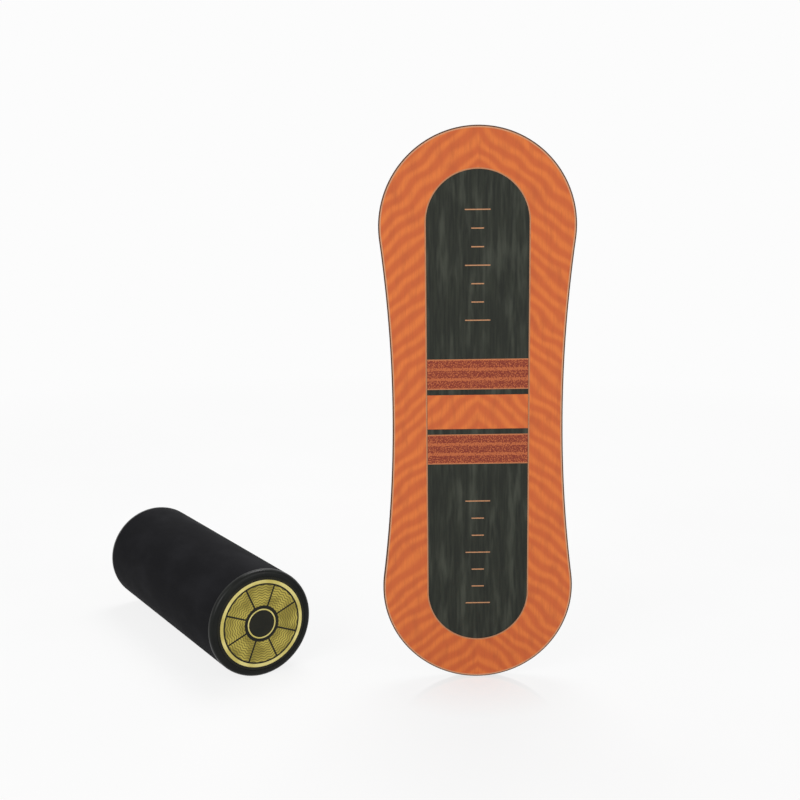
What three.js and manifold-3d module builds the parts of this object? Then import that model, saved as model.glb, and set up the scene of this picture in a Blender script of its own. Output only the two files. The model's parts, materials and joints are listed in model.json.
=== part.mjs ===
// Rola bola: a laminated balance deck standing on one end, and the roller that it is ridden on,
// lying beside it. Millimetres, +Z up, the floor at Z 0, and the origin under the middle of the set.
import * as THREE from "three";
import { mergeVertices } from "three/addons/utils/BufferGeometryUtils.js";
import Module from "manifold-3d";

const wasm = await Module();
wasm.setup();

// Deck outline: two half-round ends joined by hollow sides that draw in to a waist.
const deckLength = 810;
const lobeWidth = 280;
const waistDrawIn = 17;
const endArcSteps = 16;
const waistArcSteps = 6;

// Deck lamination: veneers of one thickness, a glue line between each, and a rim rounded on both faces.
const plyCount = 7;
const plyThickness = 1.75;
const glueLine = 0.1;
const rimShare = 0.1;
const rimSteps = 4;

// Printed film on the standing face: a border round a long window, and three bars across the waist.
const filmThickness = 0.25;
const filmGlue = 0.05;
const endBorderWidth = 60;
const sideBorderWidth = 50;
const windowArcSteps = 16;
const middleBarHeight = 50;
const sideBarHeight = 44;
const barSpacing = 8;
const barEndGap = 0.4;

// Stops on the underside, which keep the roller from running out: a cleat, a pad and screws at each end.
const cleatLengthShare = 0.64;
const cleatWidth = 24;
const cleatHeight = 16;
const cleatCornerShare = 0.3;
const cleatFromEnd = 84;
const seatGap = 0.1;
const padEndInset = 10;
const padHeight = 12;
const padThickness = 5;
const padCornerShare = 0.13;
const chamferShare = 0.3;
const cornerSteps = 3;

// Countersunk wood screws, three to a cleat.
const screwsPerCleat = 3;
const screwSpacingShare = 0.35;
const screwBiteShare = 0.65;
const screwShankRadius = 2.1;
const screwHeadRadius = 4.2;
const screwHeadHeight = 2.6;
const screwHeadRim = 0.5;
const screwTipLength = 4;
const screwClearance = 0.25;
const screwSunk = 0.4;
const driveSlotLength = 4.4;
const driveSlotWidth = 1.1;
const driveSlotDepth = 1.6;
const screwSides = 12;

// Roller: a plastic pipe in a rubber grip sleeve, closed by a moulded cap at each end.
const rollerRadius = 83;
const rollerLength = 430;
const rollerSides = 48;
const sleeveThickness = 2.7;
const sleeveChamferShare = 0.2;
const bondGap = 0.3;
const pipeWall = 5;

// End caps: a flange as wide as the roller, with a rounded edge, on a ribbed spigot that plugs the pipe.
const capEdgeRadius = 6;
const capEdgeSteps = 4;
const flangeLip = 3;
const capRimWidth = 4.1;
const capWeb = 3.5;
const capSeatGap = 0.3;
const spigotLength = 24;
const spigotWall = 4.5;
const spigotClearance = 0.4;
const spigotChamfer = 1.2;
const ribCount = 6;
const ribThickness = 3;
const ribHeightShare = 0.45;
const hubRadius = 12;

// Seal ring in a groove round each spigot, and a printed badge in a recess in each cap's face.
const grooveDepthShare = 0.5;
const grooveSideClearance = 0.3;
const groovePlaceShare = 0.35;
const sealClearance = 0.15;
const sealSides = 6;
const badgeThickness = 0.7;
const badgeAdhesive = 0.3;
const badgeSideGap = 0.4;
const badgeChamfer = 0.3;

// How the set stands: the roller's near face is left of the deck's standing face, and its axis is turned.
const rollerNearFaceX = -323.3;
const rollerNearFaceY = 14.2;
const rollerTurn = THREE.MathUtils.degToRad(31.7);

// Cutters run past the faces that they cut, and joined solids into each other, by this much.
const overrun = 1;

const deckThickness = plyCount * plyThickness + (plyCount - 1) * glueLine;
const rimRadius = rimShare * deckThickness;
const waistHalf = lobeWidth / 2 - waistDrawIn;
const cleatLength = cleatLengthShare * lobeWidth;
const cleatCornerRadius = cleatCornerShare * cleatWidth;
const cleatBack = deckThickness + seatGap;
const cleatCentre = deckLength / 2 - cleatFromEnd;
const screwTipDepth = (1 - screwBiteShare) * deckThickness;
const screwLength = cleatBack + cleatHeight - screwSunk - screwTipDepth;
const screwOffsets = Array.from(
  { length: screwsPerCleat },
  (_, i) => (i - (screwsPerCleat - 1) / 2) * screwSpacingShare * cleatLength,
);

const materials = {
  faceVeneer: new THREE.MeshStandardMaterial({ color: 0x3c3e37, roughness: 0.55, metalness: 0 }),
  corePly: new THREE.MeshStandardMaterial({ color: 0x4a3a2c, roughness: 0.7, metalness: 0 }),
  orangeFilm: new THREE.MeshStandardMaterial({ color: 0xd26c3c, roughness: 0.5, metalness: 0 }),
  brickFilm: new THREE.MeshStandardMaterial({ color: 0x8f4a34, roughness: 0.55, metalness: 0 }),
  cleatWood: new THREE.MeshStandardMaterial({ color: 0x3a2f27, roughness: 0.6, metalness: 0 }),
  padRubber: new THREE.MeshStandardMaterial({ color: 0x1c1c1c, roughness: 0.85, metalness: 0 }),
  screwSteel: new THREE.MeshStandardMaterial({ color: 0x8c8c8a, roughness: 0.35, metalness: 1 }),
  pipePlastic: new THREE.MeshStandardMaterial({ color: 0x6b6e70, roughness: 0.5, metalness: 0 }),
  gripRubber: new THREE.MeshStandardMaterial({ color: 0x262628, roughness: 0.65, metalness: 0 }),
  capPlastic: new THREE.MeshStandardMaterial({ color: 0x1c1e1a, roughness: 0.35, metalness: 0 }),
  sealRubber: new THREE.MeshStandardMaterial({ color: 0x151515, roughness: 0.8, metalness: 0 }),
  badgePrint: new THREE.MeshStandardMaterial({ color: 0xa3953c, roughness: 0.4, metalness: 0 }),
};

// A closed geometry with position alone left and its shared vertices merged.
function welded(geometry) {
  for (const name of Object.keys(geometry.attributes)) {
    if (name !== "position") geometry.deleteAttribute(name);
  }
  return mergeVertices(geometry);
}

function toSolid(geometry) {
  const merged = welded(geometry.clone());
  return new wasm.Manifold(
    new wasm.Mesh({
      numProp: 3,
      vertProperties: merged.attributes.position.array,
      triVerts: new Uint32Array(merged.index.array),
    }),
  );
}

function toGeometry(solid) {
  const mesh = solid.getMesh();
  const geometry = new THREE.BufferGeometry();
  geometry.setAttribute("position", new THREE.BufferAttribute(mesh.vertProperties, mesh.numProp));
  geometry.setIndex(new THREE.BufferAttribute(mesh.triVerts, 1));
  return geometry;
}

function without(geometry, cutters) {
  return toGeometry(cutters.reduce((solid, cutter) => solid.subtract(toSolid(cutter)), toSolid(geometry)));
}

function joined(geometries) {
  return toGeometry(geometries.map(toSolid).reduce((whole, part) => whole.add(part)));
}

function named(name, geometry, material) {
  geometry.computeVertexNormals();
  const mesh = new THREE.Mesh(geometry, material);
  mesh.name = name;
  return mesh;
}

// Points of an arc, with both of its ends.
function arcPoints(centre, radius, from, to, steps) {
  return Array.from({ length: steps + 1 }, (_, i) => {
    const angle = from + ((to - from) * i) / steps;
    return new THREE.Vector2(Math.cos(angle), Math.sin(angle)).multiplyScalar(radius).add(centre);
  });
}

// A plate lofted along Y through outlines with equally many points, anticlockwise as seen from -Y.
function lofted(sections) {
  const count = sections[0].outline.length;
  const positions = sections.flatMap(({ outline, depth }) => outline.flatMap((p) => [p.x, depth, p.y]));
  const indices = [];
  for (let k = 0; k + 1 < sections.length; k += 1) {
    for (let i = 0; i < count; i += 1) {
      const [a, b] = [k * count + i, k * count + ((i + 1) % count)];
      const [d, c] = [a + count, b + count];
      indices.push(a, d, c, a, c, b);
    }
  }
  const capOf = (section) => THREE.ShapeUtils.triangulateShape(section.outline, []);
  const last = (sections.length - 1) * count;
  for (const [a, b, c] of capOf(sections[0])) indices.push(a, b, c);
  for (const [a, b, c] of capOf(sections.at(-1))) indices.push(last + a, last + c, last + b);
  const geometry = new THREE.BufferGeometry();
  geometry.setAttribute("position", new THREE.Float32BufferAttribute(positions, 3));
  geometry.setIndex(indices);
  return geometry;
}

// A flat plate of a shape drawn in X and Z, from one depth along Y towards -Y.
function slab(outline, holes, thickness, backDepth) {
  const shape = new THREE.Shape(outline);
  shape.holes = holes.map((hole) => new THREE.Path(hole));
  const geometry = new THREE.ExtrudeGeometry(shape, { depth: thickness, bevelEnabled: false });
  return geometry.rotateX(Math.PI / 2).translate(0, backDepth, 0);
}

// A lathed solid round Y, turned half a side so that a flat side lies underneath.
function turned(profile, sides) {
  const points = profile.map(([radius, along]) => new THREE.Vector2(radius, along));
  return new THREE.LatheGeometry(points, sides, Math.PI / sides);
}

function roundedRectangle(width, height, radius, inset) {
  const [x, y, r] = [width / 2 - radius, height / 2 - radius, radius - inset];
  const corners = [[x, y], [-x, y], [-x, -y], [x, -y]];
  return corners.flatMap(([cx, cy], i) =>
    arcPoints(new THREE.Vector2(cx, cy), r, (i * Math.PI) / 2, ((i + 1) * Math.PI) / 2, cornerSteps),
  );
}

// The deck's outline drawn in by an inset, centred on the deck, with a flat side at the tip of each end.
function deckOutline(inset) {
  const endRadius = lobeWidth / 2;
  const endCentre = deckLength / 2 - endRadius;
  const waistRadius =
    (waistHalf ** 2 + endCentre ** 2 - endRadius ** 2) / (2 * (endRadius - waistHalf));
  const waistCentre = new THREE.Vector2(waistHalf + waistRadius, 0);
  const tangent = Math.atan2(endCentre, waistCentre.x);
  const waist = arcPoints(
    waistCentre, waistRadius + inset, Math.PI, Math.PI - tangent, waistArcSteps,
  );
  const step = (Math.PI / 2 + tangent) / (endArcSteps + 1 / 2);
  const end = arcPoints(
    new THREE.Vector2(0, endCentre), endRadius - inset, -tangent, Math.PI / 2 - step / 2, endArcSteps,
  );
  const quarter = [...waist, ...end.slice(1)];
  const mirrored = (points, sx, sy) => points.map((p) => new THREE.Vector2(p.x * sx, p.y * sy));
  return [
    ...quarter,
    ...mirrored([...quarter].reverse().slice(0, -1), -1, 1),
    ...mirrored(quarter, -1, -1),
    ...mirrored([...quarter].reverse().slice(0, -1), 1, -1),
  ];
}

// How far the rounded rim draws the outline in, at a depth below the deck's standing face.
function rimInset(depth) {
  const fromFace = Math.max(0, Math.min(depth, deckThickness - depth));
  if (fromFace >= rimRadius) return 0;
  return rimRadius - Math.sqrt(rimRadius ** 2 - (rimRadius - fromFace) ** 2);
}

const rimDepths = Array.from({ length: rimSteps }, (_, i) =>
  rimRadius * (1 - Math.cos(((i + 1) * Math.PI) / (2 * rimSteps))),
).flatMap((depth) => [depth, deckThickness - depth]);

function plyGeometry(index) {
  const front = index * (plyThickness + glueLine);
  const back = front + plyThickness;
  const inner = rimDepths.filter((depth) => depth > front && depth < back);
  const depths = [front, ...inner, back].sort((a, b) => a - b);
  return lofted(depths.map((depth) => ({ outline: deckOutline(rimInset(depth)), depth })));
}

// The tip is at Y 0 and the head's flat face at Y screwLength, and clearance makes it the hole's cutter.
function screwBlank(clearance) {
  const headTop = screwLength + (clearance > 0 ? screwSunk + overrun : 0);
  const shank = screwShankRadius + clearance;
  const head = screwHeadRadius + clearance;
  return turned([
    [0, -clearance],
    [shank, screwTipLength - clearance],
    [shank, screwLength - screwHeadHeight],
    [head, screwLength - screwHeadRim],
    [head, headTop],
    [0, headTop],
  ], screwSides);
}

function screwGeometry() {
  const slotTop = driveSlotDepth + overrun;
  const slotMiddle = screwLength - driveSlotDepth + slotTop / 2;
  const slots = [[driveSlotLength, driveSlotWidth], [driveSlotWidth, driveSlotLength]].map(([x, z]) =>
    new THREE.BoxGeometry(x, slotTop, z).translate(0, slotMiddle, 0),
  );
  return without(screwBlank(0), slots);
}

// The holes for one cleat's screws, at that cleat's height on the deck.
function screwHoles(height) {
  return screwOffsets.map((x) => screwBlank(screwClearance).translate(x, screwTipDepth, height));
}

function addPlies(deck) {
  for (let i = 0; i < plyCount; i += 1) {
    const outer = i === 0 || i === plyCount - 1;
    const name = i === 0 ? "face_veneer" : outer ? "back_veneer" : `core_ply_${i}`;
    const backDepth = i * (plyThickness + glueLine) + plyThickness;
    const reached = backDepth > screwTipDepth - screwClearance;
    const holes = [...screwHoles(cleatCentre), ...screwHoles(-cleatCentre)];
    const geometry = reached ? without(plyGeometry(i), holes) : plyGeometry(i);
    deck.add(named(name, geometry, outer ? materials.faceVeneer : materials.corePly));
  }
}

// A bar's outline, a little narrower than the window that it crosses.
function barOutline(height, centre) {
  const half = waistHalf - sideBorderWidth - barEndGap;
  const corners = [[half, -height], [half, height], [-half, height], [-half, -height]];
  return corners.map(([x, z]) => new THREE.Vector2(x, centre + z / 2));
}

function addFilm(deck) {
  const windowRadius = waistHalf - sideBorderWidth;
  const windowCentre = deckLength / 2 - endBorderWidth - windowRadius;
  const window = [
    ...arcPoints(new THREE.Vector2(0, windowCentre), windowRadius, 0, Math.PI, windowArcSteps),
    ...arcPoints(new THREE.Vector2(0, -windowCentre), windowRadius, Math.PI, 2 * Math.PI, windowArcSteps),
  ];
  const border = slab(deckOutline(rimRadius), [window], filmThickness, -filmGlue);
  deck.add(named("print_border", border, materials.orangeFilm));
  const sideCentre = middleBarHeight / 2 + barSpacing + sideBarHeight / 2;
  const bars = [
    ["print_bar_upper", sideBarHeight, sideCentre, materials.brickFilm],
    ["print_bar_middle", middleBarHeight, 0, materials.orangeFilm],
    ["print_bar_lower", sideBarHeight, -sideCentre, materials.brickFilm],
  ];
  for (const [name, height, centre, material] of bars) {
    deck.add(named(name, slab(barOutline(height, centre), [], filmThickness, -filmGlue), material));
  }
}

// A block with its far edges chamfered, drawn flat and as thick as its depth.
function chamferedBlock(width, height, cornerRadius, depth) {
  const chamfer = chamferShare * cornerRadius;
  const outline = (inset) => roundedRectangle(width, height, cornerRadius, inset);
  return lofted([
    { outline: outline(0), depth: 0 },
    { outline: outline(0), depth: depth - chamfer },
    { outline: outline(chamfer), depth },
  ]);
}

function cleatGeometry() {
  const blank = chamferedBlock(cleatLength, cleatWidth, cleatCornerRadius, cleatHeight);
  return without(blank.translate(0, cleatBack, 0), screwHoles(0));
}

// The pad stands on the deck against the cleat's side, and its thickness runs towards the waist.
function padGeometry() {
  const length = cleatLength - 2 * padEndInset;
  const blank = chamferedBlock(length, padHeight, padCornerShare * padHeight, padThickness);
  const besideCleat = -cleatWidth / 2 - seatGap;
  return blank.rotateX(-Math.PI / 2).translate(0, cleatBack + padHeight / 2, besideCleat);
}

// One end's stop: the turn is 0 at the upper end of the standing deck, and half a turn at the lower end.
function addStop(deck, label, turn) {
  const stop = new THREE.Group();
  stop.add(named(`stop_cleat_${label}`, cleatGeometry(), materials.cleatWood));
  stop.add(named(`stop_pad_${label}`, padGeometry(), materials.padRubber));
  screwOffsets.forEach((x, i) => {
    const screw = named(`stop_screw_${label}_${i + 1}`, screwGeometry(), materials.screwSteel);
    screw.position.set(x, screwTipDepth, 0);
    stop.add(screw);
  });
  stop.rotation.y = turn;
  stop.position.z = Math.cos(turn) * cleatCentre;
  deck.add(stop);
}

function makeDeck() {
  const deck = new THREE.Group();
  addPlies(deck);
  addFilm(deck);
  addStop(deck, "upper", 0);
  addStop(deck, "lower", Math.PI);
  const foot = Math.min(...deckOutline(0).map((p) => p.y));
  deck.position.z = -foot;
  return deck;
}

const pipeRadius = rollerRadius - sleeveThickness - bondGap;
const pipeBore = pipeRadius - pipeWall;
const flangeThickness = capEdgeRadius + flangeLip;
const pipeLength = rollerLength - 2 * (flangeThickness + capSeatGap);
const spigotRadius = pipeBore - spigotClearance;
const spigotBore = spigotRadius - spigotWall;
const grooveDepth = grooveDepthShare * spigotWall;
const grooveStart = flangeThickness + groovePlaceShare * spigotLength;
const sealThickness = spigotClearance + grooveDepth - 2 * sealClearance;
const grooveWidth = sealThickness + 2 * grooveSideClearance;
const recessDepth = badgeThickness + badgeAdhesive;
const recessRadius = rollerRadius - capEdgeRadius - capRimWidth;
const badgeRadius = recessRadius - badgeSideGap;

function pipeGeometry() {
  const half = pipeLength / 2;
  return turned([
    [pipeBore, -half], [pipeRadius, -half], [pipeRadius, half], [pipeBore, half], [pipeBore, -half],
  ], rollerSides);
}

function sleeveGeometry() {
  const half = pipeLength / 2;
  const bore = pipeRadius + bondGap;
  const chamfer = sleeveChamferShare * sleeveThickness;
  const edge = rollerRadius - chamfer;
  return turned([
    [bore, -half],
    [edge, -half],
    [rollerRadius, -half + chamfer],
    [rollerRadius, half - chamfer],
    [edge, half],
    [bore, half],
    [bore, -half],
  ], rollerSides);
}

// A cap's outer face is at Y 0, and its spigot runs towards +Y.
function capGeometry() {
  const webBack = recessDepth + capWeb;
  const spigotEnd = flangeThickness + spigotLength;
  const edge = arcPoints(
    new THREE.Vector2(rollerRadius - capEdgeRadius, capEdgeRadius),
    capEdgeRadius, -Math.PI / 2, 0, capEdgeSteps,
  ).map((p) => [p.x, p.y]);
  const blank = turned([
    [0, recessDepth],
    [recessRadius, recessDepth],
    [recessRadius, 0],
    ...edge,
    [rollerRadius, flangeThickness],
    [spigotRadius, flangeThickness],
    [spigotRadius, grooveStart],
    [spigotRadius - grooveDepth, grooveStart],
    [spigotRadius - grooveDepth, grooveStart + grooveWidth],
    [spigotRadius, grooveStart + grooveWidth],
    [spigotRadius, spigotEnd - spigotChamfer],
    [spigotRadius - spigotChamfer, spigotEnd],
    [spigotBore, spigotEnd],
    [spigotBore, webBack],
    [0, webBack],
  ], rollerSides);
  const raised = ribHeightShare * spigotLength + overrun;
  const middle = webBack - overrun + raised / 2;
  const ribLength = spigotBore + overrun;
  const ribs = Array.from({ length: ribCount }, (_, i) =>
    new THREE.BoxGeometry(ribLength, raised, ribThickness)
      .translate(ribLength / 2, middle, 0)
      .rotateY((i * 2 * Math.PI) / ribCount),
  );
  const hub = new THREE.CylinderGeometry(hubRadius, hubRadius, raised, ribCount * 2).translate(0, middle, 0);
  return joined([blank, hub, ...ribs]);
}

function sealGeometry() {
  const middle = spigotRadius - grooveDepth + sealClearance + sealThickness / 2;
  const centre = new THREE.Vector2(middle, grooveStart + grooveWidth / 2);
  const section = arcPoints(centre, sealThickness / 2, 0, 2 * Math.PI, sealSides);
  return turned([...section.slice(0, -1), section[0]].map((p) => [p.x, p.y]), rollerSides);
}

function badgeGeometry() {
  return turned([
    [0, 0],
    [badgeRadius - badgeChamfer, 0],
    [badgeRadius, badgeChamfer],
    [badgeRadius, badgeThickness],
    [0, badgeThickness],
  ], rollerSides);
}

// A cap with its seal and badge, placed with its face at the roller's end.
function addEnd(roller, label, turn) {
  const end = new THREE.Group();
  end.add(named(`end_cap_${label}`, capGeometry(), materials.capPlastic));
  end.add(named(`cap_seal_${label}`, sealGeometry(), materials.sealRubber));
  end.add(named(`cap_badge_${label}`, badgeGeometry(), materials.badgePrint));
  end.rotation.z = turn;
  end.position.y = -Math.cos(turn) * (rollerLength / 2);
  roller.add(end);
}

function makeRoller() {
  const roller = new THREE.Group();
  roller.add(named("roller_pipe", pipeGeometry(), materials.pipePlastic));
  roller.add(named("roller_grip_sleeve", sleeveGeometry(), materials.gripRubber));
  addEnd(roller, "near", 0);
  addEnd(roller, "far", Math.PI);
  const axis = new THREE.Vector3(-Math.sin(rollerTurn), Math.cos(rollerTurn), 0);
  const flatBelow = rollerRadius * Math.cos(Math.PI / rollerSides);
  roller.position.set(rollerNearFaceX, rollerNearFaceY, flatBelow).addScaledVector(axis, rollerLength / 2);
  roller.rotation.z = rollerTurn;
  return roller;
}

const set = new THREE.Group();
set.add(makeDeck(), makeRoller());

// The origin is on the floor under the middle of the set's box.
const box = new THREE.Box3().setFromObject(set, true);
const middle = box.getCenter(new THREE.Vector3());
set.position.set(-middle.x, -middle.y, -box.min.z);

const rolaBola = new THREE.Group();
rolaBola.add(set);
export default rolaBola;
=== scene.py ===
"""Rola bola: a printed balance deck standing on one end, and the drum it is ridden on, in a white studio."""

import json
import logging
import math
from dataclasses import dataclass, field, replace
from enum import Enum
from functools import cache
from typing import Any, Callable, Iterable, Sequence

import bmesh
import bpy
from mathutils import Euler, Matrix, Vector


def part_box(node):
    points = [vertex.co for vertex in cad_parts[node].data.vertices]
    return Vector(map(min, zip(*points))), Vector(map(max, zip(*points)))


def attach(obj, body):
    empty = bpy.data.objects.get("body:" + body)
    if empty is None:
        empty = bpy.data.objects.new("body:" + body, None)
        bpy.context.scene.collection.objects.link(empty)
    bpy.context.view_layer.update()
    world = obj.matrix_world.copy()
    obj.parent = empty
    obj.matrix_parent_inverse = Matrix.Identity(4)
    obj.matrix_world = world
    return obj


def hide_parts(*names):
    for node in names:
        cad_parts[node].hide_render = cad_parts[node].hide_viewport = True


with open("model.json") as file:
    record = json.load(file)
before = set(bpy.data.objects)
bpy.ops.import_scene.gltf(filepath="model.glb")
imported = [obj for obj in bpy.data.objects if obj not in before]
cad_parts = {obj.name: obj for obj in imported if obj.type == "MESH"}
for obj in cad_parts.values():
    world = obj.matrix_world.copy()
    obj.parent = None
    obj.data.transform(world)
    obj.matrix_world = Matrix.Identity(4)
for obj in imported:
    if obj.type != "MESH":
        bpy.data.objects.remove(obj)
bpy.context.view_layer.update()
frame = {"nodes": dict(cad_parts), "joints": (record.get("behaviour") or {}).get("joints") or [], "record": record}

log = logging.getLogger("rola_bola")

Mesh = bmesh.types.BMesh
Material = bpy.types.Material
Object = bpy.types.Object
Socket = bpy.types.NodeSocket
Colour = Socket | str
Pair = tuple[float, float]
Point = tuple[float, float, float]

# Lengths are in metres and angles in radians.
MM = 0.001
QUARTER = math.pi / 2
FULL_TURN = 2 * math.pi
SHARP_ANGLE = math.radians(35)

# Points nearer than MERGE are one. A face is square to an axis if its normal has this share along it.
MERGE = 0.001 * MM
SQUARE = 0.999

# Cutters run past what they cut, and joined solids into each other, by this much.
CUT_OVERRUN = 1 * MM

# Nearly all of a cloudy pattern lies in this span, and each finer octave keeps this share of the last.
CLOUD_SPAN = (0.3, 0.7)
OCTAVE_SHARE = 0.55

# The mix node's sockets for a share and two colours, and the one that gives the mixed colour.
MIX_SHARE, MIX_UNDER, MIX_OVER, MIX_OUT = 0, 6, 7, 2

WHITE = "ffffff"


class Axis(Enum):
    """The axes that a solid is mirrored along or stands along."""

    X = "X"
    Y = "Y"
    Z = "Z"


class Carve(Enum):
    """What one solid does to another."""

    REMOVE = "DIFFERENCE"
    ADD = "UNION"


class End(Enum):
    """The drum's ends, with the side of its middle that each is on along its axis."""

    NEAR = -1
    FAR = 1


class Side(Enum):
    """The ends of the standing deck that a stop is at, with the way to each from its middle."""

    UPPER = 1
    LOWER = -1


def linear(hex_colour: str) -> tuple[float, float, float, float]:
    """Turns an sRGB hex colour to the linear values that a shader takes.

    Args:
        hex_colour: Six hex digits, such as "d26c3c".

    Returns:
        Linear red, green and blue, and an alpha of 1.
    """
    channels = [int(hex_colour[i:i + 2], 16) / 255 for i in (0, 2, 4)]
    r, g, b = (c / 12.92 if c <= 0.04045 else ((c + 0.055) / 1.055) ** 2.4 for c in channels)
    return (r, g, b, 1.0)


@dataclass(frozen=True)
class Cloud:
    """A cloudy pattern: its cells' size along X, Y and Z in millimetres, and how many finer octaves it has.

    A long cell gives a streak.
    """

    x: float
    y: float
    z: float
    detail: float


@dataclass(frozen=True)
class Layer:
    """A tone over others: from none of it to the most of it, as its cloud rises through the edge."""

    tone: str
    cloud: Cloud
    edge: Pair
    most: float = 1.0


class Nodes:
    """A node tree, with one function that adds a node to it."""

    def __init__(self, tree: bpy.types.NodeTree) -> None:
        """Takes the tree that the nodes go into."""
        self.tree = tree

    def feed(self, node: bpy.types.Node, sockets: dict[Any, Any]) -> None:
        """Sets or links a node's inputs.

        Args:
            node: The node that takes them.
            sockets: Socket names or numbers, each with a value, a hex colour or the socket that feeds it.
        """
        for name, value in sockets.items():
            if isinstance(value, Socket):
                self.tree.links.new(value, node.inputs[name])
            else:
                node.inputs[name].default_value = linear(value) if isinstance(value, str) else value

    def add(self, kind: str, *values: Any, sockets: dict[Any, Any] | None = None, out: Any = 0,
            **settings: Any) -> Socket:
        """Adds a node, with its settings, and its inputs set or linked.

        Args:
            kind: The node's type, without its ShaderNode prefix.
            *values: What goes into the first sockets, in order: values, or the sockets that feed them.
            sockets: The same for other sockets, by name or number.
            out: The name or number of the output to give back.
            **settings: Properties of the node.

        Returns:
            The output's socket.
        """
        node = self.tree.nodes.new("ShaderNode" + kind)
        for name, value in settings.items():
            setattr(node, name, value)
        self.feed(node, {**dict(enumerate(values)), **(sockets or {})})
        return node.outputs[out]

    def glimpsed(self) -> Socket:
        """Tells the rays that only see a surface from those that it lights.

        Returns:
            A value of 1 for a ray from the camera, a gloss or a clear piece.
        """
        seen = self.add("LightPath", out="Is Camera Ray")
        for ray in ("Is Glossy Ray", "Is Transmission Ray"):
            seen = self.add("Math", seen, self.add("LightPath", out=ray), operation="MAXIMUM")
        return seen


class Shader(Nodes):
    """A material's node tree, with the coordinates and the clouds of its pattern."""

    def __init__(self, look: "Finish") -> None:
        """Starts a material with a surface shader, its output and its coordinates.

        Args:
            look: The finish that it shows.
        """
        self.look = look
        self.material = bpy.data.materials.new(look.name)
        self.material.use_nodes = True
        super().__init__(self.material.node_tree)
        self.surface = self.tree.nodes["Principled BSDF"]
        self.output = self.tree.nodes["Material Output"]
        self.where = self.grounded(look.centre, look.turn)
        self.clouds: dict[Cloud, Socket] = {}

    def grounded(self, centre: Point, turn: float = 0.0) -> Socket:
        """Gives a piece's own coordinates, in metres from a point and turned about the vertical."""
        here = self.add("TexCoord", out="Object")
        return self.add("Mapping", here, centre, (0.0, 0.0, turn), vector_type="TEXTURE")

    def clouded(self, cloud: Cloud) -> Socket:
        """Lays a cloudy pattern, or gives the one that is there.

        Args:
            cloud: The pattern.

        Returns:
            The pattern's value, about 0.5.
        """
        if cloud not in self.clouds:
            scale = tuple(1 / (side * MM) for side in (cloud.x, cloud.y, cloud.z))
            scaled = self.add("Mapping", self.where, sockets={"Scale": scale})
            octaves = {"Scale": 1.0, "Detail": cloud.detail, "Roughness": OCTAVE_SHARE}
            self.clouds[cloud] = self.add("TexNoise", scaled, sockets=octaves)
        return self.clouds[cloud]

    def tinted(self, under: Colour, over: str, pattern: Socket, edge: Pair, most: float = 1.0) -> Socket:
        """Lays one colour on another where a pattern is strong.

        Args:
            under: The colour underneath.
            over: The colour laid on it.
            pattern: The pattern's value.
            edge: The values up to which nothing of the second colour shows, and from which the most does.
            most: How much that is.

        Returns:
            The colour's socket.
        """
        share = self.add("MapRange", pattern, *edge, 0.0, most, interpolation_type="SMOOTHSTEP")
        colours = {MIX_SHARE: share, MIX_UNDER: under, MIX_OVER: over}
        return self.add("Mix", sockets=colours, out=MIX_OUT, data_type="RGBA")

    def sawn(self, length: Socket, pitch: float) -> Socket:
        """Turns a length into even teeth, which repeat at a pitch.

        Args:
            length: The length's socket.
            pitch: One tooth's length.

        Returns:
            A value that falls from 0.5 to 0 over half a tooth, and rises again over the other half.
        """
        turns = self.add("Math", length, pitch, operation="DIVIDE")
        phase = self.add("Math", turns, operation="FRACT")
        offset = self.add("Math", phase, 0.5, operation="SUBTRACT")
        return self.add("Math", offset, operation="ABSOLUTE")

    def finish(self, colour: Colour) -> None:
        """Feeds the surface shader.

        Args:
            colour: The base colour.
        """
        look = self.look
        sheen = self.clouded(look.sheen or look.grain)
        bump = {"Height": self.clouded(look.grain), "Distance": look.relief, "Strength": 1.0}
        self.feed(self.surface, {
            "Base Color": colour,
            "Roughness": self.add("MapRange", sheen, *CLOUD_SPAN, *look.rough),
            "Normal": self.add("Bump", sockets=bump),
            "IOR": look.ior,
            "Specular IOR Level": look.gloss,
            "Metallic": look.metallic,
        })


@dataclass(frozen=True, kw_only=True)
class Finish:
    """A finish: a tone under cloudy layers of others, a grain in relief and a gloss that drifts.

    The roughness goes from its first value to its second as the sheen's pattern rises, or the grain's where
    there is no sheen.
    """

    name: str
    centre: Point = (0.0, 0.0, 0.0)
    turn: float = 0.0
    tone: str
    grain: Cloud
    sheen: Cloud | None = None
    rough: Pair
    relief: float = 0.02 * MM
    ior: float = 1.5
    gloss: float = 0.25
    metallic: float = 0.0

    def ground(self, shader: Shader) -> Colour:
        """Gives the colour under the layers: the plain tone, unless a finish draws more."""
        return self.tone

    def layers(self) -> Sequence[Layer]:
        """Lists the layers of colour, the lowest first."""
        return ()

    def shaded(self) -> Shader:
        """Builds the material, with its ground, its layers and its surface.

        Returns:
            The material's shader.
        """
        shader = Shader(self)
        colour = self.ground(shader)
        for layer in self.layers():
            colour = shader.tinted(colour, layer.tone, shader.clouded(layer.cloud), layer.edge, layer.most)
        shader.finish(colour)
        return shader

    @cache
    def material(self) -> Material:
        """Gives the material, which is built once for all the pieces that have this finish."""
        return self.shaded().material


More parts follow.
